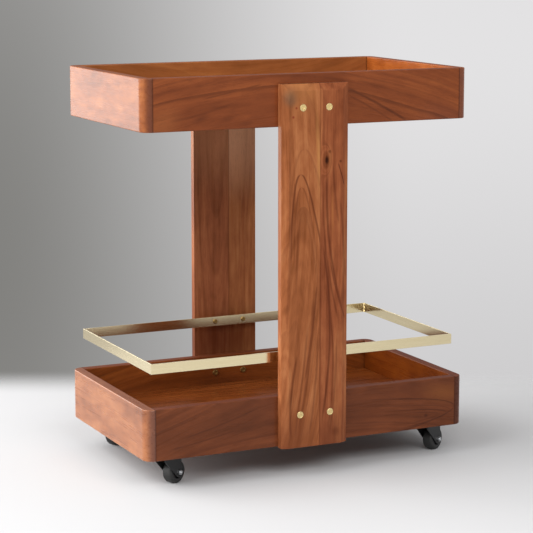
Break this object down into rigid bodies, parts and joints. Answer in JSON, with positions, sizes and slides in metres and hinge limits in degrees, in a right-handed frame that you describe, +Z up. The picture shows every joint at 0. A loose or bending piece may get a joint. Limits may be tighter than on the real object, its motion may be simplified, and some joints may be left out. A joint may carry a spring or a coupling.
{
  "type": "rolling storage cart",
  "caption": "Two-tier wooden rolling cart: trays hung between a front and a rear post, a flat-bar brass rail round the lower tray, and swivel casters.",
  "frame": {"origin": "on the floor under the middle of the cart, centre of the bottom of its box", "axes": "+Z up, +X along the trays, -Y is the front, the side of the post that the picture shows"},
  "size_m": [0.762, 0.4898, 0.864],
  "materials": {
    "acacia_board": "satin lacquered acacia",
    "acacia_end_board": "satin lacquered acacia",
    "acacia_floor": "satin lacquered acacia panel",
    "acacia_post": "satin lacquered acacia",
    "beech_dowel": "bare beech",
    "block_wood": "stained hardwood block",
    "rail_brass": "brushed pale brass plate",
    "fastener_brass": "brass plated steel",
    "black_steel": "black powder coat",
    "zinc_steel": "bright zinc plate",
    "black_nylon": "moulded nylon",
    "black_rubber": "moulded rubber"
  },
  "bodies": {
    "frame": {"top_tray_front_board": "acacia_board", "top_tray_back_board": "acacia_board", "top_tray_left_board": "acacia_end_board", "top_tray_right_board": "acacia_end_board", "top_tray_floor": "acacia_floor", "top_tray_dowels": "beech_dowel", "lower_tray_front_board": "acacia_board", "lower_tray_back_board": "acacia_board", "lower_tray_left_board": "acacia_end_board", "lower_tray_right_board": "acacia_end_board", "lower_tray_floor": "acacia_floor", "lower_tray_dowels": "beech_dowel", "front_post_wide_stave": "acacia_post", "front_post_narrow_stave": "acacia_post", "rear_post_wide_stave": "acacia_post", "rear_post_narrow_stave": "acacia_post", "caster_blocks": "block_wood", "rail_front_bar": "rail_brass", "rail_back_bar": "rail_brass", "rail_left_bar": "rail_brass", "rail_right_bar": "rail_brass", "rail_corner_welds": "rail_brass", "rail_spacers": "rail_brass", "cap_nuts": "fastener_brass", "tray_bolts": "fastener_brass", "rail_screws": "fastener_brass", "post_inserts": "fastener_brass", "front_left_caster_plate": "black_steel", "front_right_caster_plate": "black_steel", "rear_left_caster_plate": "black_steel", "rear_right_caster_plate": "black_steel", "kingpins": "zinc_steel", "swivel_races": "zinc_steel", "plate_screws": "zinc_steel"},
    "front_left_caster": {"front_left_fork": "black_steel", "front_left_axle": "zinc_steel", "front_left_axle_nut": "zinc_steel", "front_left_axle_sleeve": "zinc_steel"},
    "front_left_wheel": {"front_left_wheel_hub": "black_nylon", "front_left_tyre": "black_rubber"},
    "front_right_caster": {"front_right_fork": "black_steel", "front_right_axle": "zinc_steel", "front_right_axle_nut": "zinc_steel", "front_right_axle_sleeve": "zinc_steel"},
    "front_right_wheel": {"front_right_wheel_hub": "black_nylon", "front_right_tyre": "black_rubber"},
    "rear_left_caster": {"rear_left_fork": "black_steel", "rear_left_axle": "zinc_steel", "rear_left_axle_nut": "zinc_steel", "rear_left_axle_sleeve": "zinc_steel"},
    "rear_left_wheel": {"rear_left_wheel_hub": "black_nylon", "rear_left_tyre": "black_rubber"},
    "rear_right_caster": {"rear_right_fork": "black_steel", "rear_right_axle": "zinc_steel", "rear_right_axle_nut": "zinc_steel", "rear_right_axle_sleeve": "zinc_steel"},
    "rear_right_wheel": {"rear_right_wheel_hub": "black_nylon", "rear_right_tyre": "black_rubber"}
  },
  "joints": [
    {"name": "front_left_swivel", "type": "hinge", "parent": "frame", "child": "front_left_caster", "pos_m": [-0.317, -0.1705, 0.068], "axis": [0, 0, 1], "continuous": true},
    {"name": "front_left_roll", "type": "hinge", "parent": "front_left_caster", "child": "front_left_wheel", "pos_m": [-0.29228, -0.15735, 0.025], "axis": [0.4695, -0.8829, 0], "continuous": true},
    {"name": "front_right_swivel", "type": "hinge", "parent": "frame", "child": "front_right_caster", "pos_m": [0.317, -0.1705, 0.068], "axis": [0, 0, 1], "continuous": true},
    {"name": "front_right_roll", "type": "hinge", "parent": "front_right_caster", "child": "front_right_wheel", "pos_m": [0.34172, -0.15735, 0.025], "axis": [0.4695, -0.8829, 0], "continuous": true},
    {"name": "rear_left_swivel", "type": "hinge", "parent": "frame", "child": "rear_left_caster", "pos_m": [-0.317, 0.1705, 0.068], "axis": [0, 0, 1], "continuous": true},
    {"name": "rear_left_roll", "type": "hinge", "parent": "rear_left_caster", "child": "rear_left_wheel", "pos_m": [-0.29228, 0.18365, 0.025], "axis": [0.4695, -0.8829, 0], "continuous": true},
    {"name": "rear_right_swivel", "type": "hinge", "parent": "frame", "child": "rear_right_caster", "pos_m": [0.317, 0.1705, 0.068], "axis": [0, 0, 1], "continuous": true},
    {"name": "rear_right_roll", "type": "hinge", "parent": "rear_right_caster", "child": "rear_right_wheel", "pos_m": [0.34172, 0.18365, 0.025], "axis": [0.4695, -0.8829, 0], "continuous": true}
  ]
}
